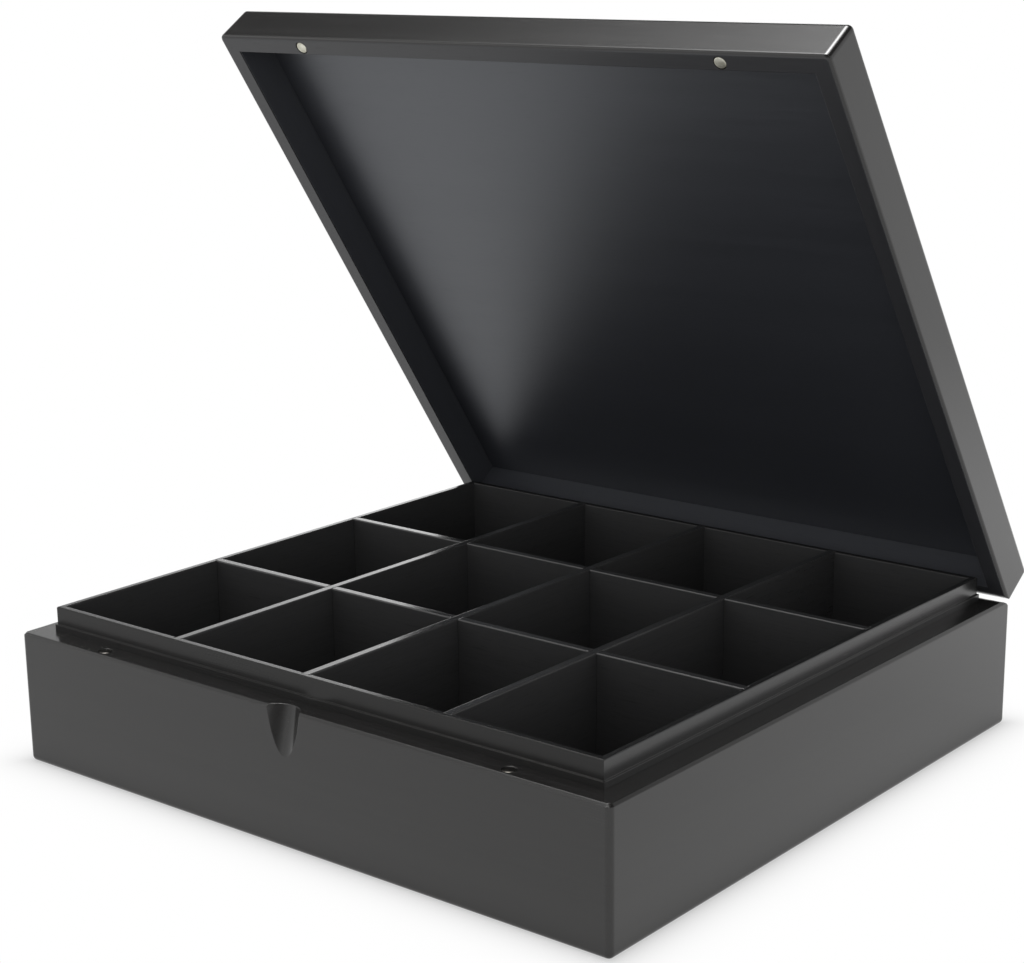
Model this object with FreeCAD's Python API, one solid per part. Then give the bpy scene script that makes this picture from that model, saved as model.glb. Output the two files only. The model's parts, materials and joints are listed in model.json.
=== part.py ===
import FreeCAD, Part
import math
import os

# A lidded wooden box with open compartments, in millimetres.
# X runs along the front, Y from front to back, Z up; the origin is the centre of the underside.

# The box as a whole
box_width = 330.0
box_depth = 311.0
ledge_height = 61.3
lid_height = 21.3
lid_open_angle = 56.1

# Outer walls: mitred boards, rounded along the hinge edge
wall_thickness = 10.7
wall_round = 2.6
ledge_ease = 1.2
wall_back_round = 8.0

# Finger notch, cut by a leaning cylinder in the middle of the front wall
notch_radius = 10.4
notch_depth = 6.0
notch_drop = 20.6

# Bottom panel, let into a rebate round the underside
bottom_thickness = 5.0
bottom_rebate = 5.0
panel_clearance = 0.1

# Liner: thin boards inside the walls whose tops form the lip
liner_thickness = 3.9
lip_height = 11.2
lip_step = 3.0
lip_relief = 0.8
lip_ease = 0.4

# Dividers, cross-lapped and housed in dadoes in the liner
divider_thickness = 4.0
divider_ease = 0.4
dado_depth = 1.5
dado_clearance = 0.1
column_divider_names = ["left_column_divider", "middle_column_divider", "right_column_divider"]
row_divider_names = ["front_row_divider", "back_row_divider"]

# Lid: mitred rails round a flush top panel
rim_width = 9.0
rim_ease = 0.5
rim_round = 1.6
lid_round = 2.6
lid_back_round = 6.0
lid_panel_thickness = 4.0
lid_panel_rebate = 4.5
lid_gap = 0.3

# Disc magnets, set flush in the front ledge and the front rim
magnet_radius = 3.0
magnet_thickness = 2.5
magnet_inset = 5.2
magnet_end_inset = 51.0
magnet_clearance = 0.1

# Butt hinges, let in so that the knuckles lie inside the back edge
hinge_end_inset = 70.0
hinge_length = 30.0
hinge_axis_inset = 3.0
leaf_thickness = 1.0
leaf_reach = 5.6
leaf_sink = 0.1
leaf_clearance = 0.15
knuckle_count = 3
knuckle_radius = 2.0
knuckle_gap = 0.2
knuckle_clearance = 0.3
pin_radius = 0.95
pin_clearance = 0.05

# Hinge screws, countersunk
screw_spacing = 18.0
screw_reach = 3.9
screw_length = 8.0
screw_head_radius = 1.4
screw_head_depth = 0.7
screw_shank_radius = 0.8
screw_clearance = 0.05

# How far a cutting solid runs past the face that it cuts
overrun = 1.0

X_AXIS = FreeCAD.Vector(1, 0, 0)
Z_AXIS = FreeCAD.Vector(0, 0, 1)

front_face = -box_depth / 2
back_face = box_depth / 2
lip_top = ledge_height + lip_height
liner_width = box_width - 2 * wall_thickness
liner_depth = box_depth - 2 * wall_thickness
inner_width = liner_width - 2 * liner_thickness
inner_depth = liner_depth - 2 * liner_thickness
rim_level = ledge_height + lid_gap
lid_top = rim_level + lid_height
recess_ceiling = lid_top - lid_panel_thickness
hinge_y = back_face - hinge_axis_inset
hinge_z = ledge_height + lid_gap / 2
hinge_places = {"left": hinge_end_inset - box_width / 2, "right": box_width / 2 - hinge_end_inset}
magnet_y = front_face + magnet_inset
magnet_x = box_width / 2 - magnet_end_inset
nodes = {}


# Shared solids

def span(x_low, x_high, y_low, y_high, z_low, z_high):
    """A box between two corners."""
    corner = FreeCAD.Vector(x_low, y_low, z_low)
    return Part.makeBox(x_high - x_low, y_high - y_low, z_high - z_low, corner)


def block(width, depth, low, high):
    """A box centred on the Z axis."""
    return span(-width / 2, width / 2, -depth / 2, depth / 2, low, high)


def ring(width, depth, thickness, low, high):
    """A rectangular ring of even thickness, measured outside."""
    hole = block(width - 2 * thickness, depth - 2 * thickness, low - overrun, high + overrun)
    return block(width, depth, low, high).cut(hole)


def rod(radius, length, middle):
    """A round bar along X."""
    start = middle - X_AXIS * (length / 2)
    return Part.makeCylinder(radius, length, start, X_AXIS)


def edges_above(shape, level):
    return [edge for edge in shape.Edges if edge.BoundBox.ZMin > level]


def edges_reaching(shape, level):
    """Edges with an end at or below a level: the lower loop and the uprights that stand on it."""
    return [edge for edge in shape.Edges if edge.BoundBox.ZMin < level]


def back_edge_waste(radius, edge_level, inward):
    """What a round-over takes off the long back edge; inward is +1 if the wood lies above it, else -1."""
    centre_level = edge_level + inward * radius
    outer_level = edge_level - inward * overrun
    half_length = box_width / 2 + overrun
    corner = span(-half_length, half_length, back_face - radius, back_face + overrun,
                  min(centre_level, outer_level), max(centre_level, outer_level))
    return corner.cut(rod(radius, 2 * half_length, FreeCAD.Vector(0, back_face - radius, centre_level)))


def mitred_sides(whole, width, depth, thickness, low, high):
    """Saws a rectangular frame into front, back, left and right along 45 degree planes at its corners."""
    far_x = width / 2 + overrun
    far_y = depth / 2 + overrun
    cut_depth = thickness + 2 * overrun
    near_x = far_x - cut_depth
    near_y = far_y - cut_depth
    outlines = {
        "front": [(-far_x, -far_y), (far_x, -far_y), (near_x, -near_y), (-near_x, -near_y)],
        "back": [(far_x, far_y), (-far_x, far_y), (-near_x, near_y), (near_x, near_y)],
        "left": [(-far_x, far_y), (-far_x, -far_y), (-near_x, -near_y), (-near_x, near_y)],
        "right": [(far_x, -far_y), (far_x, far_y), (near_x, near_y), (near_x, -near_y)],
    }
    sides = {}
    for side, outline in outlines.items():
        corners = [FreeCAD.Vector(x, y, low - overrun) for x, y in outline]
        face = Part.Face(Part.makePolygon(corners + corners[:1]))
        sides[side] = whole.common(face.extrude(Z_AXIS * (high - low + 2 * overrun)))
    return sides


# Magnets, and the pockets that they sit in

def magnet_discs(radius, low, high):
    places = [FreeCAD.Vector(x, magnet_y, low) for x in (-magnet_x, magnet_x)]
    return [Part.makeCylinder(radius, high - low, place) for place in places]


# Hinges: each leaf is a plate rolled into every second knuckle

def hinge_leaf(middle_x, side):
    """One leaf in the closed position; side is -1 for the base's, below the axis, and +1 for the lid's."""
    axis = FreeCAD.Vector(middle_x, hinge_y, hinge_z)
    inner_level = hinge_z + side * (lid_gap / 2 + leaf_sink)
    outer_level = inner_level + side * leaf_thickness
    leaf = span(middle_x - hinge_length / 2, middle_x + hinge_length / 2, hinge_y - leaf_reach, hinge_y,
                min(inner_level, outer_level), max(inner_level, outer_level))
    pitch = hinge_length / knuckle_count
    for index in range(knuckle_count):
        place = axis + X_AXIS * (pitch * (index + 0.5) - hinge_length / 2)
        own_knuckle = (index % 2 == 0) == (side < 0)
        if own_knuckle:
            leaf = leaf.fuse(rod(knuckle_radius, pitch - knuckle_gap, place))
        else:
            leaf = leaf.cut(rod(knuckle_radius + knuckle_clearance, pitch + knuckle_gap, place))
    leaf = leaf.cut(rod(pin_radius + pin_clearance, hinge_length + 2 * overrun, axis))
    for place in screw_places(middle_x, side):
        leaf = leaf.cut(screw_body(place, side, screw_clearance))
    return leaf.removeSplitter()


def hinge_mortise(middle_x, side):
    """The wood that is cut away for one leaf and for the knuckles."""
    half_length = hinge_length / 2 + leaf_clearance
    seat_level = hinge_z + side * (lid_gap / 2 + leaf_sink + leaf_thickness)
    open_level = hinge_z - side * overrun
    waste = span(middle_x - half_length, middle_x + half_length,
                 hinge_y - leaf_reach - leaf_clearance, back_face + overrun,
                 min(seat_level, open_level), max(seat_level, open_level))
    axis = FreeCAD.Vector(middle_x, hinge_y, hinge_z)
    waste = waste.fuse(rod(knuckle_radius + knuckle_clearance, 2 * half_length, axis))
    for place in screw_places(middle_x, side):
        waste = waste.fuse(screw_body(place, side, screw_clearance))
    return waste


def hinge_pin(middle_x):
    return rod(pin_radius, hinge_length, FreeCAD.Vector(middle_x, hinge_y, hinge_z))


def screw_places(middle_x, side):
    """Points on the leaf's open face where the screw heads finish flush."""
    level = hinge_z + side * (lid_gap / 2 + leaf_sink)
    offsets = (-screw_spacing / 2, screw_spacing / 2)
    return [FreeCAD.Vector(middle_x + offset, hinge_y - screw_reach, level) for offset in offsets]


def screw_body(place, side, clearance):
    """A countersunk screw driven along side * Z; a clearance swells it into the hole that it needs."""
    drive = Z_AXIS * side
    shank_radius = screw_shank_radius + clearance
    head = Part.makeCone(screw_head_radius + clearance, shank_radius, screw_head_depth, place, drive)
    shank = Part.makeCylinder(shank_radius, screw_length + clearance, place, drive)
    return head.fuse(shank).removeSplitter()


# Base: outer walls

shell = block(box_width, box_depth, 0, ledge_height)
shell = shell.makeFillet(wall_round, edges_reaching(shell, ledge_height / 2))
shell = shell.makeChamfer(ledge_ease, edges_above(shell, ledge_height / 2))
shell = shell.cut(block(liner_width, liner_depth, -overrun, ledge_height + overrun))
rebate_width = liner_width + 2 * bottom_rebate
rebate_depth = liner_depth + 2 * bottom_rebate
shell = shell.cut(block(rebate_width, rebate_depth, -overrun, bottom_thickness))
shell = shell.cut(back_edge_waste(wall_back_round, ledge_height, -1))
walls = mitred_sides(shell, box_width, box_depth, wall_thickness, 0, ledge_height)

notch_lean = math.atan2(notch_depth, notch_drop)
notch_axis = FreeCAD.Vector(0, math.sin(notch_lean), math.cos(notch_lean))
notch_centre_y = front_face + notch_depth - notch_radius / math.cos(notch_lean)
notch_length = notch_drop + notch_radius
notch_start = FreeCAD.Vector(0, notch_centre_y, ledge_height) - notch_axis * notch_length
notch = Part.makeCylinder(notch_radius, 2 * notch_length, notch_start, notch_axis)
pocket_radius = magnet_radius + magnet_clearance
pocket_floor = ledge_height - magnet_thickness
pockets = magnet_discs(pocket_radius, pocket_floor, ledge_height + overrun)
walls["front"] = walls["front"].cut([notch] + pockets)
walls["back"] = walls["back"].cut([hinge_mortise(x, -1) for x in hinge_places.values()])
for side, wall in walls.items():
    nodes[side + "_wall"] = wall

# Base: bottom panel

panel_width = rebate_width - 2 * panel_clearance
panel_depth = rebate_depth - 2 * panel_clearance
nodes["bottom_panel"] = block(panel_width, panel_depth, 0, bottom_thickness)

# Base: dividers, and the dadoes that house their ends


def divider_slab(along_y, place, thickness, length, low, high):
    """An upright slab through the middle of the box, along Y at x = place or along X at y = place."""
    if along_y:
        return span(place - thickness / 2, place + thickness / 2, -length / 2, length / 2, low, high)
    return span(-length / 2, length / 2, place - thickness / 2, place + thickness / 2, low, high)


def spaced(inside, names):
    """Middles of dividers that share an inside length into equal compartments."""
    pitch = (inside + divider_thickness) / (len(names) + 1)
    first = -(inside + divider_thickness) / 2
    return [first + pitch * (index + 1) for index in range(len(names))]


column_places = spaced(inner_width, column_divider_names)
row_places = spaced(inner_depth, row_divider_names)
slot_width = divider_thickness + 2 * dado_clearance
lap_level = (bottom_thickness + lip_top) / 2
column_length = inner_depth + 2 * dado_depth
row_length = inner_width + 2 * dado_depth


def divider(along_y, place, length):
    board_length = length - 2 * dado_clearance
    board = divider_slab(along_y, place, divider_thickness, board_length, bottom_thickness, lip_top)
    long_edges = [edge for edge in edges_above(board, lap_level) if edge.Length > length / 2]
    return board.makeChamfer(divider_ease, long_edges)


dadoes = [divider_slab(True, x, slot_width, column_length, bottom_thickness, lip_top + overrun)
          for x in column_places]
dadoes += [divider_slab(False, y, slot_width, row_length, bottom_thickness, lip_top + overrun)
           for y in row_places]
lower_laps = [divider_slab(False, y, slot_width, row_length, bottom_thickness - overrun, lap_level)
              for y in row_places]
upper_laps = [divider_slab(True, x, slot_width, column_length, lap_level, lip_top + overrun)
              for x in column_places]
for name, x in zip(column_divider_names, column_places):
    nodes[name] = divider(True, x, column_length).cut(lower_laps)
for name, y in zip(row_divider_names, row_places):
    nodes[name] = divider(False, y, row_length).cut(upper_laps)

# Base: liner, relieved above a step so that the lid drops over it easily

lining = ring(liner_width, liner_depth, liner_thickness, bottom_thickness, lip_top)
relief_width = liner_width + 2 * overrun
relief_depth = liner_depth + 2 * overrun
relief = ring(relief_width, relief_depth, lip_relief + overrun, ledge_height + lip_step, lip_top + overrun)
lining = lining.cut(relief)
lining = lining.makeChamfer(lip_ease, edges_above(lining, lip_top - lip_ease))
lining = lining.cut(dadoes)
liners = mitred_sides(lining, liner_width, liner_depth, liner_thickness, bottom_thickness, lip_top)
for side, liner in liners.items():
    nodes[side + "_liner"] = liner

# Base: magnets and fixed half of the hinges

nodes["base_magnets"] = Part.makeCompound(magnet_discs(magnet_radius, pocket_floor, ledge_height))
base_screws = []
for hand, x in hinge_places.items():
    nodes[hand + "_hinge_base_leaf"] = hinge_leaf(x, -1)
    nodes[hand + "_hinge_pin"] = hinge_pin(x)
    base_screws += [screw_body(place, -1, 0) for place in screw_places(x, -1)]
nodes["base_hinge_screws"] = Part.makeCompound(base_screws)

# Lid: rails and top panel, in the closed position

lid_nodes = {}
cover = block(box_width, box_depth, rim_level, lid_top)
lid_middle = (rim_level + lid_top) / 2
upper_edges = [edge for edge in cover.Edges if edge.BoundBox.ZMax > lid_middle]
cover = cover.makeFillet(lid_round, upper_edges)
outer_edges = [edge for edge in cover.Edges if edge.BoundBox.ZMax < lid_middle]
cover = cover.makeFillet(rim_round, outer_edges)
opening_width = box_width - 2 * rim_width
opening_depth = box_depth - 2 * rim_width
cover = cover.cut(block(opening_width, opening_depth, rim_level - overrun, lid_top + overrun))
mouth_low = rim_level - rim_ease
mouth = block(opening_width + rim_ease, opening_depth + rim_ease, mouth_low, rim_level + rim_ease)
mouth_edges = [edge for edge in cover.Edges if mouth.BoundBox.isInside(edge.BoundBox)]
cover = cover.makeChamfer(rim_ease, mouth_edges)
seat_width = opening_width + 2 * lid_panel_rebate
seat_depth = opening_depth + 2 * lid_panel_rebate
cover = cover.cut(block(seat_width, seat_depth, recess_ceiling, lid_top + overrun))
cover = cover.cut(back_edge_waste(lid_back_round, rim_level, 1))
rails = mitred_sides(cover, box_width, box_depth, rim_width, rim_level, lid_top)
pocket_ceiling = rim_level + magnet_thickness
lid_pockets = magnet_discs(pocket_radius, rim_level - overrun, pocket_ceiling)
rails["front"] = rails["front"].cut(lid_pockets)
rails["back"] = rails["back"].cut([hinge_mortise(x, 1) for x in hinge_places.values()])
for side, rail in rails.items():
    lid_nodes["lid_" + side + "_rail"] = rail
lid_panel_width = seat_width - 2 * panel_clearance
lid_panel_depth = seat_depth - 2 * panel_clearance
lid_nodes["lid_top_panel"] = block(lid_panel_width, lid_panel_depth, recess_ceiling, lid_top)

# Lid: magnets and moving half of the hinges

lid_nodes["lid_magnets"] = Part.makeCompound(magnet_discs(magnet_radius, rim_level, pocket_ceiling))
lid_screws = []
for hand, x in hinge_places.items():
    lid_nodes[hand + "_hinge_lid_leaf"] = hinge_leaf(x, 1)
    lid_screws += [screw_body(place, 1, 0) for place in screw_places(x, 1)]
lid_nodes["lid_hinge_screws"] = Part.makeCompound(lid_screws)

# Lid: swung open about the hinge pins to where it stands at rest

for name, shape in lid_nodes.items():
    shape.rotate(FreeCAD.Vector(0, hinge_y, hinge_z), X_AXIS, -lid_open_angle)
    nodes[name] = shape

os.makedirs("parts", exist_ok=True)
for name, shape in nodes.items():
    shape.exportStep("parts/" + name + ".step")
    print(name, len(shape.Solids), shape.isValid(), round(shape.Volume))
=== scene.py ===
import json
import math
import bpy
from mathutils import Matrix, Vector


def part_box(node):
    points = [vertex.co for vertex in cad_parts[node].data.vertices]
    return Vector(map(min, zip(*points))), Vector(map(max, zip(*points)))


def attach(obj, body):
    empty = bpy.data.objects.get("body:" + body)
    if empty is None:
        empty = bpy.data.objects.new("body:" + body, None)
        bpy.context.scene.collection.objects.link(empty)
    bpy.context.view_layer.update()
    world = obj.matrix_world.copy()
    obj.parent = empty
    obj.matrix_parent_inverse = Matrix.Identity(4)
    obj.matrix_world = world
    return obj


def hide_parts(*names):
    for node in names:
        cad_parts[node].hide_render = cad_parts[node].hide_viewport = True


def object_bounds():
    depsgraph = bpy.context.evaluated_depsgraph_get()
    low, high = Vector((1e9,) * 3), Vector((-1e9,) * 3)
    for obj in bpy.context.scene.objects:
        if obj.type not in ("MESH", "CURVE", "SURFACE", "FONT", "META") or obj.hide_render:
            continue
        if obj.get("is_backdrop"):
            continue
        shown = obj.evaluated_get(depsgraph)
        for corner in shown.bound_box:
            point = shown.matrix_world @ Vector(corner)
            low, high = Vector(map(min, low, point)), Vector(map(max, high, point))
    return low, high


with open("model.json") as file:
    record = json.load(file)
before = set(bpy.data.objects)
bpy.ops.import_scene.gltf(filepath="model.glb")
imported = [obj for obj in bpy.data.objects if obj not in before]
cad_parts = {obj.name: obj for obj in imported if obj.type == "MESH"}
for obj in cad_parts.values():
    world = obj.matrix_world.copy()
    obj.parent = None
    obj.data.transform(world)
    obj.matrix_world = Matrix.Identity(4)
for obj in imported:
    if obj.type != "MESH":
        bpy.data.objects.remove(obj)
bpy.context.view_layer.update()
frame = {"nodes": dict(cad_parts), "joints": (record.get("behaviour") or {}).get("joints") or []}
bpy.ops.object.select_all(action="DESELECT")


# Outer walls of the base
# Four boards of fine straight-grained wood, mitred at the corners and glued.
# They are stained black through and sprayed with a satin lacquer that leaves the pores just open.

ALONG_FRONT = 0.0
ALONG_SIDE = math.radians(-90)
STANDING = Matrix.Identity(4)
HALF_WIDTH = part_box("right_wall")[1].x
HALF_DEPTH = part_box("back_wall")[1].y


def streaks(material, lay, length, width, detail):
    """Noise drawn out along the grain into streaks of about this length and width, in metres."""
    nodes = material.node_tree.nodes
    link = material.node_tree.links.new
    stretch = nodes.new("ShaderNodeMapping")
    stretch.inputs["Scale"].default_value = (1 / length, 1 / width, 1 / width)
    noise = nodes.new("ShaderNodeTexNoise")
    noise.inputs["Scale"].default_value = 1.0
    noise.inputs["Detail"].default_value = detail
    link(lay.outputs["Vector"], stretch.inputs["Vector"])
    link(stretch.outputs["Vector"], noise.inputs["Vector"])
    return noise.outputs["Fac"]


def ranged(material, value, low, high, to_low, to_high):
    """A value carried from one range to another and held inside it."""
    node = material.node_tree.nodes.new("ShaderNodeMapRange")
    node.inputs["From Min"].default_value = low
    node.inputs["From Max"].default_value = high
    node.inputs["To Min"].default_value = to_low
    node.inputs["To Max"].default_value = to_high
    material.node_tree.links.new(value, node.inputs["Value"])
    return node.outputs["Result"]


def combined(material, operation, first, second):
    """Two values, either of them a plain number, put together by one sum."""
    node = material.node_tree.nodes.new("ShaderNodeMath")
    node.operation = operation
    for socket, value in zip(node.inputs, (first, second)):
        if isinstance(value, float):
            socket.default_value = value
        else:
            material.node_tree.links.new(value, socket)
    return node.outputs["Value"]


def blended(material, share, first, second):
    """Two colours, either of them plain, mixed by a share."""
    node = material.node_tree.nodes.new("ShaderNodeMix")
    node.data_type = "RGBA"
    material.node_tree.links.new(share, node.inputs["Factor"])
    for socket, colour in ((node.inputs["A"], first), (node.inputs["B"], second)):
        if isinstance(colour, tuple):
            socket.default_value = (*colour, 1.0)
        else:
            material.node_tree.links.new(colour, socket)
    return node.outputs["Result"]


def eased_normal(material, along, across, lead, reach):
    """The surface normal as if every edge were rubbed round within this reach.

    The rounding fades out at the mitres, where boards meet flush: there a point's distances from the
    frame's middle, along and across the grain, differ by the lead.
    """
    off_mitre = combined(material, "SUBTRACT", combined(material, "SUBTRACT", along, across), lead)
    off_mitre = combined(material, "ABSOLUTE", off_mitre, 0.0)
    rounded = material.node_tree.nodes.new("ShaderNodeBevel")
    rounded.samples = 6
    radius = ranged(material, off_mitre, 0.0, 2.0 * reach, 0.0, reach)
    material.node_tree.links.new(radius, rounded.inputs["Radius"])
    return rounded.outputs["Normal"]


def edge_wear_and_highlight(material, eased):
    """How far a point lies on a rubbed edge, 0 on a flat face and towards 1 on a corner: the mask for worn
    lacquer and a painted highlight.
    """
    nodes = material.node_tree.nodes
    link = material.node_tree.links.new
    surface = nodes.new("ShaderNodeNewGeometry")
    facing = nodes.new("ShaderNodeVectorMath")
    facing.operation = "DOT_PRODUCT"
    link(eased, facing.inputs[0])
    link(surface.outputs["Normal"], facing.inputs[1])
    return ranged(material, facing.outputs["Value"], 0.98, 0.75, 0.0, 1.0)


LACQUER_INDEX = 1.5
BAND_SIZE = (0.300, 0.008)
FIBRE_SIZE = (0.040, 0.0008)
PORE_SIZE = (0.009, 0.0003)
PORE_BLACK = (0.008, 0.008, 0.008)
WORN_BROWN_AND_HIGHLIGHT = (0.060, 0.055, 0.050)
RELIEF_DEPTH = 0.00002
MASK_EDGE = 0.0001


def black_lacquer(name, heading, shut, stain, gloss, reach, index=LACQUER_INDEX, linings=()):
    """Satin black lacquer over straight grain that runs along X.

    The grain is laid with the box shut, so a piece of the open lid is first brought there, then turned by a
    heading about Z. Edges are rubbed round within a reach and lightened there, partly as wear and partly as a
    painted highlight. Each lining is another stain, gloss and index, for faces that lie an inset in from the
    box's side or at the foot of the piece.
    """
    material = bpy.data.materials.new(name)
    material.use_nodes = True
    nodes = material.node_tree.nodes
    link = material.node_tree.links.new
    shader = nodes["Principled BSDF"]
    place = nodes.new("ShaderNodeTexCoord")
    lay = nodes.new("ShaderNodeMapping")
    laid = Matrix.Rotation(heading, 4, "Z") @ shut
    lay.inputs["Rotation"].default_value = laid.to_euler()
    lay.inputs["Location"].default_value = laid.to_translation()
    link(place.outputs["Object"], lay.inputs["Vector"])
    split = nodes.new("ShaderNodeSeparateXYZ")
    link(lay.outputs["Vector"], split.inputs["Vector"])
    along = combined(material, "ABSOLUTE", split.outputs["X"], 0.0)
    across = combined(material, "ABSOLUTE", split.outputs["Y"], 0.0)
    halves = (HALF_WIDTH, HALF_DEPTH) if heading == ALONG_FRONT else (HALF_DEPTH, HALF_WIDTH)
    half_along, half_across = halves
    eased = eased_normal(material, along, across, half_along - half_across, reach)

    bands = streaks(material, lay, *BAND_SIZE, detail=3.0)
    fibres = streaks(material, lay, *FIBRE_SIZE, detail=4.0)
    pores = ranged(material, streaks(material, lay, *PORE_SIZE, detail=1.0), 0.62, 0.70, 0.0, 1.0)
    grain = combined(material, "ADD", combined(material, "MULTIPLY", bands, 0.4),
                     combined(material, "MULTIPLY", fibres, 0.6))
    tone = ranged(material, grain, 0.35, 0.65, 0.0, 1.0)
    stained = blended(material, tone, *stain)
    rough = ranged(material, tone, 0.0, 1.0, gloss - 0.02, gloss + 0.02)
    # A lining's stain: in this box a paler one, painted light on faces that lie inside.
    for inset, foot, lining_stain, lining_gloss, lining_index in linings:
        inward = combined(material, "SUBTRACT", half_across, across)
        set_in = ranged(material, inward, inset - 2 * MASK_EDGE, inset - MASK_EDGE, 0.0, 1.0)
        at_foot = ranged(material, split.outputs["Z"], foot + MASK_EDGE, foot + 2 * MASK_EDGE, 1.0, 0.0)
        inner = combined(material, "MAXIMUM", set_in, at_foot)
        stained = blended(material, inner, stained, blended(material, tone, *lining_stain))
        duller = ranged(material, inner, 0.0, 1.0, 0.0, lining_gloss - gloss)
        rough = combined(material, "ADD", rough, duller)
        if lining_index != index:
            link(ranged(material, inner, 0.0, 1.0, index, lining_index), shader.inputs["IOR"])
    pored = blended(material, combined(material, "MULTIPLY", pores, 0.22), stained, PORE_BLACK)
    # Rubbed edges are lightened warm brown: worn lacquer, and partly a painted highlight along the edges.
    worn_and_highlit = combined(material, "MULTIPLY", edge_wear_and_highlight(material, eased),
                    ranged(material, bands, 0.35, 0.65, 0.15, 0.5))
    link(blended(material, worn_and_highlit, pored, WORN_BROWN_AND_HIGHLIGHT), shader.inputs["Base Color"])
    rough = combined(material, "ADD", rough, combined(material, "MULTIPLY", pores, 0.06))
    link(rough, shader.inputs["Roughness"])
    shader.inputs["IOR"].default_value = index

    relief = combined(material, "SUBTRACT", combined(material, "MULTIPLY", fibres, 0.5),
                      combined(material, "MULTIPLY", pores, 0.6))
    bump = nodes.new("ShaderNodeBump")
    bump.inputs["Strength"].default_value = 0.2
    bump.inputs["Distance"].default_value = RELIEF_DEPTH
    link(relief, bump.inputs["Height"])
    link(eased, bump.inputs["Normal"])
    link(bump.outputs["Normal"], shader.inputs["Normal"])
    return material


def finish_nodes(names, material):
    """The CAD pieces of these names, finished in one material."""
    for name in names:
        slots = frame["nodes"][name].data.materials
        slots.clear()
        slots.append(material)


wall_stain = ((0.0145, 0.0140, 0.0136), (0.0180, 0.0174, 0.0168))
wall_gloss = 0.18
wall_edge = 0.0005
wall_long = black_lacquer("wall_lacquer_long", ALONG_FRONT, STANDING, wall_stain, wall_gloss, wall_edge)
wall_side = black_lacquer("wall_lacquer_side", ALONG_SIDE, STANDING, wall_stain, wall_gloss, wall_edge)
finish_nodes(["front_wall", "back_wall"], wall_long)
finish_nodes(["left_wall", "right_wall"], wall_side)


# Bottom panel
# One thin board let into a rebate under the walls and glued. It is stained like them but lacquered
# only thinly, so it stays dull.

bottom_gloss = 0.65
thin_coat_index = 1.34
bottom_lacquer = black_lacquer("bottom_lacquer", ALONG_FRONT, STANDING, wall_stain, bottom_gloss, wall_edge,
                               index=thin_coat_index)
finish_nodes(["bottom_panel"], bottom_lacquer)


# Liner
# Thin mitred boards glued inside the walls. Their tops stand above the ledge as the lip that guides the lid.
# The lip is lacquered like the walls, more thinly along the front and back, and stained darker there and
# paler at the sides, as painted shade and painted light. The inner faces are stained paler, as painted light
# in the compartments.

NO_FOOT = -1.0
liner_edge = 0.0005
liner_inset = HALF_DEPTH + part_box("front_liner")[1].y
# Painted light: the liner's inner faces and the dividers are stained paler, so the compartments read lighter.
inner_stain_painted_light = ((0.035, 0.035, 0.0355), (0.0385, 0.0385, 0.039))
inner_gloss = 0.18
inner_long = (liner_inset, NO_FOOT, inner_stain_painted_light, inner_gloss, thin_coat_index)
inner_side = (liner_inset, NO_FOOT, inner_stain_painted_light, inner_gloss, LACQUER_INDEX)
lip_gloss = 0.20
# Painted shade and light: the lip's front and back are stained darker than the walls, its sides paler.
lip_long_stain_painted_shade = ((0.0115, 0.0113, 0.0110), (0.0140, 0.0137, 0.0133))
lip_side_stain_painted_light = ((0.018, 0.018, 0.018), (0.022, 0.022, 0.022))
liner_long = black_lacquer("liner_lacquer_long", ALONG_FRONT, STANDING, lip_long_stain_painted_shade, lip_gloss, liner_edge,
                           index=thin_coat_index, linings=[inner_long])
liner_side = black_lacquer("liner_lacquer_side", ALONG_SIDE, STANDING, lip_side_stain_painted_light, lip_gloss, liner_edge,
                           linings=[inner_side])
finish_nodes(["front_liner", "back_liner"], liner_long)
finish_nodes(["left_liner", "right_liner"], liner_side)


# Dividers
# Thin boards, halved over each other where they cross and housed in the liner at their ends.
# They are lacquered like the liner's inner faces, a little smoother, and share their paler stain, which is
# painted light.

divider_gloss = 0.16
divider_row = black_lacquer("divider_lacquer_row", ALONG_FRONT, STANDING, inner_stain_painted_light, divider_gloss,
                            liner_edge)
divider_column = black_lacquer("divider_lacquer_column", ALONG_SIDE, STANDING, inner_stain_painted_light, divider_gloss,
                               liner_edge)
finish_nodes(["front_row_divider", "back_row_divider"], divider_row)
finish_nodes(["left_column_divider", "middle_column_divider", "right_column_divider"], divider_column)


# Magnets in the front ledge
# Two nickel-plated discs pressed into blind holes, flush with the wood, with rolled rims and a faint dish.
# Their plating is coloured dark, much darker than the same discs in the lid, as painted shade, so they barely
# show against the ledge.

DRAWN_LINE_SIZE = (0.006, 0.00012)
DRAWN_LINE_DEPTH = 0.00001
CLOUD_SIZE = (0.003, 0.003)


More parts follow.
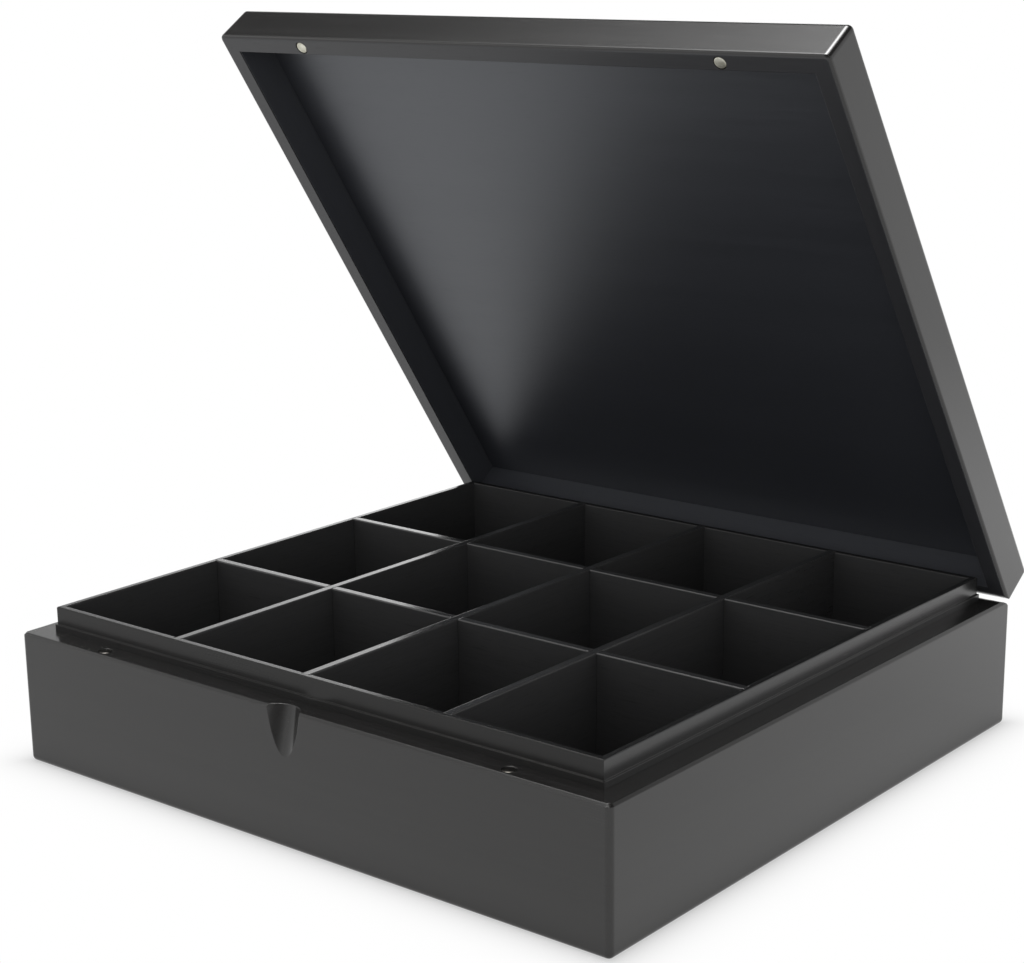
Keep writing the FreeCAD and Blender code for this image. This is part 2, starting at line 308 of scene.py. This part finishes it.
def nickel_plate(name, colour, shade, rough_low, rough_high):
    """Nickel plating with fine drawn lines along X and a cloudy change of gloss."""
    material = bpy.data.materials.new(name)
    material.use_nodes = True
    nodes = material.node_tree.nodes
    link = material.node_tree.links.new
    shader = nodes["Principled BSDF"]
    shader.inputs["Metallic"].default_value = 1.0
    place = nodes.new("ShaderNodeTexCoord")
    lay = nodes.new("ShaderNodeMapping")
    link(place.outputs["Object"], lay.inputs["Vector"])
    lines = streaks(material, lay, *DRAWN_LINE_SIZE, detail=2.0)
    clouds = streaks(material, lay, *CLOUD_SIZE, detail=2.0)
    plating = blended(material, ranged(material, clouds, 0.35, 0.65, 0.0, 1.0), colour, shade)
    link(plating, shader.inputs["Base Color"])
    mixed = combined(material, "MULTIPLY", combined(material, "ADD", lines, clouds), 0.5)
    link(ranged(material, mixed, 0.35, 0.65, rough_low, rough_high), shader.inputs["Roughness"])
    bump = nodes.new("ShaderNodeBump")
    bump.inputs["Strength"].default_value = 0.3
    bump.inputs["Distance"].default_value = DRAWN_LINE_DEPTH
    link(lines, bump.inputs["Height"])
    link(bump.outputs["Normal"], shader.inputs["Normal"])
    return material


SOLIDS_APART = 0.004


def solids_along_x(node, setting):
    """Boxes round the separate solids of a node, told apart by gaps along X, after a change of setting."""
    points = [setting @ vertex.co for vertex in frame["nodes"][node].data.vertices]
    points.sort(key=lambda point: point.x)
    groups = [points[:1]]
    for point in points[1:]:
        if point.x - groups[-1][-1].x > SOLIDS_APART:
            groups.append([])
        groups[-1].append(point)
    return [(Vector(map(min, zip(*group))), Vector(map(max, zip(*group)))) for group in groups]


def use_modifier(piece, kind, **settings):
    """One modifier, set and applied."""
    bpy.context.view_layer.objects.active = piece
    modifier = piece.modifiers.new(kind.lower(), kind)
    for key, value in settings.items():
        setattr(modifier, key, value)
    bpy.ops.object.modifier_apply(modifier=modifier.name)


def settled(name, pieces):
    """Pieces joined into one, with its place, turn and scale taken into the mesh."""
    bpy.ops.object.select_all(action="DESELECT")
    for piece in pieces:
        piece.select_set(True)
    bpy.context.view_layer.objects.active = pieces[0]
    if len(pieces) > 1:
        bpy.ops.object.join()
    bpy.ops.object.transform_apply(location=True, rotation=True, scale=True)
    joined = bpy.context.object
    joined.name = name
    joined.select_set(False)
    return joined


def copied(pattern, setting):
    """A copy of a pattern piece with a mesh of its own, put in its setting."""
    piece = pattern.copy()
    piece.data = pattern.data.copy()
    bpy.context.scene.collection.objects.link(piece)
    piece.matrix_world = setting
    return piece


def handed_over(piece, node, body, material):
    """A finished piece that stands in for a CAD node."""
    piece.data.materials.clear()
    piece.data.materials.append(material)
    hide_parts(node)
    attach(piece, body)


magnet_boxes = solids_along_x("base_magnets", STANDING)
magnet_size = magnet_boxes[0][1] - magnet_boxes[0][0]
pocket_play = 0.0002
magnet_round = 0.0005
magnet_rim = 0.0007
magnet_dish = 0.00005
bpy.ops.mesh.primitive_cylinder_add(vertices=64, radius=magnet_size.x / 2 - pocket_play, depth=magnet_size.z,
                                    location=(0.0, 0.0, -magnet_size.z / 2))
magnet_pattern = settled("magnet_pattern", [bpy.context.object])
use_modifier(magnet_pattern, "BEVEL", width=magnet_round, segments=4, limit_method="ANGLE")
for face in magnet_pattern.data.polygons:
    face.select = face.area > 0.5 * magnet_size.x ** 2
magnet_pattern.select_set(True)
bpy.ops.object.mode_set(mode="EDIT")
bpy.ops.mesh.inset(thickness=magnet_rim, depth=-magnet_dish)
bpy.ops.object.mode_set(mode="OBJECT")
bpy.ops.object.shade_smooth_by_angle(angle=math.radians(40))
# Dark plating colour: painted shade on the ledge magnets.
shaded_nickel = nickel_plate("shaded_nickel", (0.085, 0.080, 0.072), (0.055, 0.052, 0.047), 0.20, 0.28)
magnets = []
for low, high in magnet_boxes:
    middle = (low + high) / 2
    magnets.append(copied(magnet_pattern, Matrix.Translation((middle.x, middle.y, high.z))))
handed_over(settled("ledge_magnets", magnets), "base_magnets", "base", shaded_nickel)


# Hinge leaves
# Small butt hinges of folded steel strip, nickel plated and satin. They are let into the back wall and
# the back rail, each leaf held by two screws.

hinge_nickel = nickel_plate("hinge_nickel", (0.56, 0.55, 0.52), (0.44, 0.43, 0.40), 0.42, 0.58)
finish_nodes(["left_hinge_base_leaf", "right_hinge_base_leaf"], hinge_nickel)
finish_nodes(["left_hinge_lid_leaf", "right_hinge_lid_leaf"], hinge_nickel)


# Hinge pins
# Steel rods with rounded ends, plated like the leaves and pushed through the knuckles of both.

pin_low, pin_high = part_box("left_hinge_pin")
pin_middle = (pin_low + pin_high) / 2
pin_size = pin_high - pin_low
pin_round = 0.00035
bpy.ops.mesh.primitive_cylinder_add(vertices=40, radius=pin_size.z / 2, depth=pin_size.x,
                                    location=pin_middle, rotation=(0.0, math.radians(90), 0.0))
left_pin = settled("left_pin", [bpy.context.object])
use_modifier(left_pin, "BEVEL", width=pin_round, segments=4, limit_method="ANGLE")
left_pin.select_set(True)
bpy.ops.object.shade_smooth_by_angle(angle=math.radians(40))
right_low, right_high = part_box("right_hinge_pin")
right_pin = copied(left_pin, Matrix.Translation((right_low + right_high) / 2 - pin_middle))
right_pin = settled("right_pin", [right_pin])
handed_over(left_pin, "left_hinge_pin", "base", hinge_nickel)
handed_over(right_pin, "right_hinge_pin", "base", hinge_nickel)


# Hinge screws of the base
# Countersunk wood screws with a cross recess, a turned neck and a rolled thread, two to a leaf.

screw_boxes = solids_along_x("base_hinge_screws", STANDING)
screw_size = screw_boxes[0][1] - screw_boxes[0][0]
head_radius = screw_size.x / 2
head_depth = 0.0007
head_round = 0.00005
neck_radius = 0.0008
thread_pitch = 0.0009
thread_turns = 7
core_radius = 0.00055

bpy.ops.mesh.primitive_cone_add(vertices=48, radius1=neck_radius, radius2=head_radius, depth=head_depth,
                                location=(0.0, 0.0, -head_depth / 2))
head = settled("screw_head", [bpy.context.object])
use_modifier(head, "BEVEL", width=head_round, segments=2, limit_method="ANGLE")
recess_length = 1.3 * head_radius
recess_width = 0.2 * head_radius
recess_bars = []
for turn in (0.0, math.radians(90)):
    bpy.ops.mesh.primitive_cube_add(size=1.0, scale=(recess_length, recess_width, head_depth),
                                    rotation=(0.0, 0.0, turn))
    recess_bars.append(settled("recess_bar", [bpy.context.object]))
for bar in recess_bars:
    use_modifier(head, "BOOLEAN", object=bar, operation="DIFFERENCE", solver="EXACT")
    bpy.data.objects.remove(bar)

thread_length = thread_pitch * (thread_turns + 1)
profile = bpy.data.meshes.new("thread_profile")
profile.from_pydata([(core_radius, 0.0, 0.0), (neck_radius, 0.0, 0.4 * thread_pitch),
                     (neck_radius, 0.0, 0.5 * thread_pitch), (core_radius, 0.0, thread_pitch)],
                    [(0, 1), (1, 2), (2, 3)], [])
thread = bpy.data.objects.new("screw_thread", profile)
bpy.context.scene.collection.objects.link(thread)
thread.location = (0.0, 0.0, -head_depth - thread_length)
use_modifier(thread, "SCREW", axis="Z", angle=math.radians(360), screw_offset=thread_pitch,
             iterations=thread_turns, steps=24, render_steps=24, use_merge_vertices=True)
tip_length = screw_size.z - head_depth - thread_length
bpy.ops.mesh.primitive_cone_add(vertices=24, radius1=0.0, radius2=core_radius, depth=tip_length,
                                location=(0.0, 0.0, -screw_size.z + tip_length / 2))
screw_pattern = settled("screw_pattern", [head, thread, bpy.context.object])
screw_pattern.select_set(True)
bpy.ops.object.shade_smooth_by_angle(angle=math.radians(35))
screw_nickel = nickel_plate("screw_nickel", (0.60, 0.59, 0.56), (0.46, 0.45, 0.43), 0.36, 0.50)
screws = []
for low, high in screw_boxes:
    middle = (low + high) / 2
    screws.append(copied(screw_pattern, Matrix.Translation((middle.x, middle.y, high.z))))
handed_over(settled("base_screws", screws), "base_hinge_screws", "base", screw_nickel)


# Lid rails and lid panel
# Four mitred rails carry a flat panel in a rebate along their tops, all lacquered black. Inside the lid and
# on its rim the lacquer is duller and stained paler, palest on the rails' inner sides; the paler stains are
# painted light.
# The lid stands open as photographed; its grain is laid with it shut.

hinge = frame["joints"][0]
lid_swing = math.radians(-hinge["range_deg"][0])
hinge_place = Matrix.Translation(hinge["pos_m"])
OPEN = hinge_place @ Matrix.Rotation(-lid_swing, 4, "X") @ hinge_place.inverted()
SHUT = OPEN.inverted()
NO_INSET = 2 * HALF_DEPTH
rail_edge = 0.0003
rim_width = 0.0090
lid_gap = 0.0003
rim_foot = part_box("right_wall")[1].z + lid_gap
rim_gloss = 0.37
# Painted light: the rim, the rails' inner sides and the panel's underside are stained paler than the outside.
rim_stain_painted_light = ((0.023, 0.0235, 0.026), (0.027, 0.0275, 0.0305))
rim_lining = (NO_INSET, rim_foot, rim_stain_painted_light, rim_gloss, LACQUER_INDEX)
side_stain_painted_light = ((0.037, 0.039, 0.045), (0.041, 0.043, 0.050))
side_lining = (rim_width, NO_FOOT, side_stain_painted_light, rim_gloss, LACQUER_INDEX)
rail_gloss = 0.13
panel_stain_painted_light = ((0.0215, 0.0230, 0.0275), (0.0245, 0.0260, 0.0315))
panel_foot = min((SHUT @ vertex.co).z for vertex in frame["nodes"]["lid_top_panel"].data.vertices)
panel_gloss = 0.39
panel_index = 1.85
panel_lining = (NO_INSET, panel_foot, panel_stain_painted_light, panel_gloss, panel_index)
panel_sheen = (0.91, 0.945, 1.0)
rail_long = black_lacquer("lid_lacquer_long", ALONG_FRONT, SHUT, wall_stain, rail_gloss, rail_edge,
                          linings=[side_lining, rim_lining])
rail_side = black_lacquer("lid_lacquer_side", ALONG_SIDE, SHUT, wall_stain, rail_gloss, rail_edge,
                          linings=[side_lining, rim_lining])
panel_lacquer = black_lacquer("lid_panel_lacquer", ALONG_FRONT, SHUT, wall_stain, rail_gloss, rail_edge,
                              linings=[panel_lining])
panel_shader = panel_lacquer.node_tree.nodes["Principled BSDF"]
panel_shader.inputs["Specular Tint"].default_value = (*panel_sheen, 1.0)
finish_nodes(["lid_front_rail", "lid_back_rail"], rail_long)
finish_nodes(["lid_left_rail", "lid_right_rail"], rail_side)
finish_nodes(["lid_top_panel"], panel_lacquer)


# Magnets in the lid's front rim
# The same discs as in the ledge, set facing them, so they are turned over and swung open with the lid.
# Their plating keeps its pale colour, without the ledge magnets' painted shade.

TURNED_OVER = Matrix.Rotation(math.radians(180), 4, "X")
bare_nickel = nickel_plate("bare_nickel", (0.70, 0.69, 0.60), (0.46, 0.45, 0.37), 0.34, 0.50)
lid_magnets = []
for low, high in solids_along_x("lid_magnets", SHUT):
    middle = (low + high) / 2
    place = Matrix.Translation((middle.x, middle.y, low.z))
    lid_magnets.append(copied(magnet_pattern, OPEN @ place @ TURNED_OVER))
handed_over(settled("rim_magnets", lid_magnets), "lid_magnets", "lid", bare_nickel)
bpy.data.objects.remove(magnet_pattern)


# Hinge screws of the lid
# The same screws, driven upwards into the back rail.

lid_screws = []
for low, high in solids_along_x("lid_hinge_screws", SHUT):
    middle = (low + high) / 2
    place = Matrix.Translation((middle.x, middle.y, low.z))
    lid_screws.append(copied(screw_pattern, OPEN @ place @ TURNED_OVER))
handed_over(settled("lid_screws", lid_screws), "lid_hinge_screws", "lid", screw_nickel)
bpy.data.objects.remove(screw_pattern)


# Floor
# A plain white sweep under and behind the box. It reads as white and keeps a soft shadow close round the box:
# the real shadow, shown where the glow is faded near the box's footprint as painted shade.
# Behind the box it is lit a little more, which shows only in the lacquer's reflections.

floor_size = 12.0
shadow_reach = 0.06
shadow_falloff = 7.0
shadow_glow = 0.47
bpy.ops.mesh.primitive_plane_add(size=floor_size)
floor = bpy.context.object
floor.name = "studio_floor"
floor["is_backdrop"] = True
floor_white = bpy.data.materials.new("floor_white")
floor_white.use_nodes = True
floor_nodes = floor_white.node_tree.nodes
floor_link = floor_white.node_tree.links.new
floor_nodes.remove(floor_nodes["Principled BSDF"])
paint = floor_nodes.new("ShaderNodeBsdfDiffuse")
paint.inputs["Color"].default_value = (0.86, 0.86, 0.86, 1.0)
glow = floor_nodes.new("ShaderNodeEmission")
ray = floor_nodes.new("ShaderNodeLightPath").outputs
seen = combined(floor_white, "MAXIMUM", ray["Is Camera Ray"], ray["Is Glossy Ray"])
seen = combined(floor_white, "MAXIMUM", seen, ray["Is Transmission Ray"])

outside = floor_nodes.new("ShaderNodeTexCoord").outputs["Object"]
spot = floor_nodes.new("ShaderNodeSeparateXYZ")
floor_link(outside, spot.inputs["Vector"])
behind = combined(floor_white, "MULTIPLY", ranged(floor_white, spot.outputs["Y"], 0.15, 0.45, 0.0, 0.40),
                  ranged(floor_white, spot.outputs["Y"], 0.55, 1.00, 1.0, 0.1))
behind = combined(floor_white, "MULTIPLY", behind, ray["Is Glossy Ray"])
floor_link(combined(floor_white, "ADD", 1.0, behind), glow.inputs["Strength"])
for operation, amount in (("ABSOLUTE", None), ("SUBTRACT", (HALF_WIDTH, HALF_DEPTH, 0.0)),
                          ("MAXIMUM", (0.0, 0.0, 0.0)), ("LENGTH", None)):
    step = floor_nodes.new("ShaderNodeVectorMath")
    step.operation = operation
    floor_link(outside, step.inputs[0])
    if amount:
        step.inputs[1].default_value = amount
    outside = step.outputs["Value"] if operation == "LENGTH" else step.outputs["Vector"]
# Painted shade: the glow fades by distance from the box's footprint, wherever light falls.
nearness = ranged(floor_white, outside, 0.0, shadow_reach, 1.0, 0.0)
nearness = combined(floor_white, "POWER", nearness, shadow_falloff)
lit_share = ranged(floor_white, nearness, 0.0, 1.0, 1.0, shadow_glow)
floor_mix = floor_nodes.new("ShaderNodeMixShader")
floor_link(combined(floor_white, "MULTIPLY", seen, lit_share), floor_mix.inputs["Fac"])
floor_link(paint.outputs["BSDF"], floor_mix.inputs[1])
floor_link(glow.outputs["Emission"], floor_mix.inputs[2])
floor_link(floor_mix.outputs["Shader"], floor_nodes["Material Output"].inputs["Surface"])
floor.data.materials.append(floor_white)


# Studio light
# A white room that fills softly from all round, most from beside the camera and least from the ceiling.
# In reflections it is white up to a dark ceiling with a soft lamp overhead, dimmer behind the camera,
# brighter on the lit backdrop behind the box at the left, and has a dim side light high at the left.

world = bpy.data.worlds.new("white_studio")
bpy.context.scene.world = world
world.use_nodes = True
sky_nodes = world.node_tree.nodes
sky_link = world.node_tree.links.new
fill = sky_nodes["Background"]
fill.inputs["Color"].default_value = (1.0, 1.0, 1.0, 1.0)
surround = sky_nodes.new("ShaderNodeBackground")
surround.inputs["Color"].default_value = (1.0, 1.0, 1.0, 1.0)
sky_ray = sky_nodes.new("ShaderNodeLightPath").outputs
direction = sky_nodes.new("ShaderNodeTexCoord")
split = sky_nodes.new("ShaderNodeSeparateXYZ")
sky_link(direction.outputs["Generated"], split.inputs["Vector"])
rightward, backward, upward = (split.outputs[axis] for axis in "XYZ")
towards = {}
aims = {"side": (-0.60, -0.45, 0.66), "front": (0.50, -0.75, 0.43), "lamp": (-0.20, 0.0, 0.98)}
for light, aim in aims.items():
    node = sky_nodes.new("ShaderNodeVectorMath")
    node.operation = "DOT_PRODUCT"
    node.inputs[1].default_value = aim
    sky_link(direction.outputs["Generated"], node.inputs[0])
    towards[light] = node.outputs["Value"]
filling = combined(world, "MULTIPLY", ranged(world, towards["front"], -1.0, 1.0, 0.75, 1.50),
                   ranged(world, upward, 0.20, 0.90, 1.0, 0.30))
sky_link(filling, fill.inputs["Strength"])

room = combined(world, "MULTIPLY", ranged(world, upward, 0.44, 0.64, 1.0, 0.05),
                ranged(world, towards["front"], 0.55, 0.90, 1.0, 0.20))
leaning = combined(world, "DIVIDE", rightward, backward)
backdrop = ranged(world, leaning, -0.92, -1.25, 1.3, -0.2)
backdrop = combined(world, "MULTIPLY", backdrop, ranged(world, leaning, -0.40, -0.10, 1.0, 0.0))
backdrop = combined(world, "MULTIPLY", backdrop, ranged(world, backward, 0.10, 0.30, 0.0, 1.0))
backdrop = combined(world, "MULTIPLY", backdrop, ranged(world, upward, 0.30, 0.45, 1.0, 0.0))
side_light = ranged(world, towards["side"], 0.88, 0.97, 0.0, 0.70)
lamp_focus = 25.0
lamp_strength = 29.0
lamp = combined(world, "POWER", combined(world, "MAXIMUM", towards["lamp"], 0.0), lamp_focus)
lamp = combined(world, "MULTIPLY", lamp, lamp_strength)
mirrored = combined(world, "ADD", combined(world, "ADD", room, backdrop),
                    combined(world, "ADD", side_light, lamp))
mirrored = combined(world, "MULTIPLY", combined(world, "SUBTRACT", mirrored, 1.0), sky_ray["Is Glossy Ray"])
sky_link(combined(world, "ADD", 1.0, mirrored), surround.inputs["Strength"])
shown = combined(world, "MAXIMUM", sky_ray["Is Camera Ray"], sky_ray["Is Glossy Ray"])
shown = combined(world, "MAXIMUM", shown, sky_ray["Is Transmission Ray"])
sky_mix = sky_nodes.new("ShaderNodeMixShader")
sky_link(shown, sky_mix.inputs["Fac"])
sky_link(fill.outputs["Background"], sky_mix.inputs[1])
sky_link(surround.outputs["Background"], sky_mix.inputs[2])
sky_link(sky_mix.outputs["Shader"], sky_nodes["World Output"].inputs["Surface"])

softbox_place = (-0.08, 0.0, 1.30)
softbox_size = (1.20, 1.00)
softbox_radiance = 0.3
bpy.ops.object.light_add(type="AREA", location=softbox_place)
softbox = bpy.context.object
softbox.name = "overhead_softbox"
softbox.visible_glossy = False
softbox.data.shape = "RECTANGLE"
softbox.data.size, softbox.data.size_y = softbox_size
softbox.data.energy = softbox_radiance * math.pi * softbox_size[0] * softbox_size[1]


# Camera
# A short telephoto from the front right, a little above the box, its frame shifted a little off the middle.

camera_data = bpy.data.cameras.new("photo_camera")
camera = bpy.data.objects.new("photo_camera", camera_data)
bpy.context.scene.collection.objects.link(camera)
camera_place = Vector((0.593341, -0.726808, 0.361147))
camera_azimuth = math.radians(38.2468)
camera_elevation = math.radians(15.1972)
camera_roll = math.radians(-0.3751)
camera.rotation_mode = "XYZ"
camera.matrix_world = (Matrix.Translation(camera_place)
                       @ Matrix.Rotation(camera_azimuth, 4, "Z")
                       @ Matrix.Rotation(math.radians(90) - camera_elevation, 4, "X")
                       @ Matrix.Rotation(camera_roll, 4, "Z"))
camera_data.sensor_width = 36.0
camera_data.lens = 75.594
camera_data.shift_x = -0.04688
camera_data.shift_y = 0.03760
bpy.context.scene.camera = camera
bpy.context.scene.view_settings.view_transform = "Standard"


# Sizes of the solids and of the finished model, to compare

bpy.context.view_layer.update()
low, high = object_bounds()
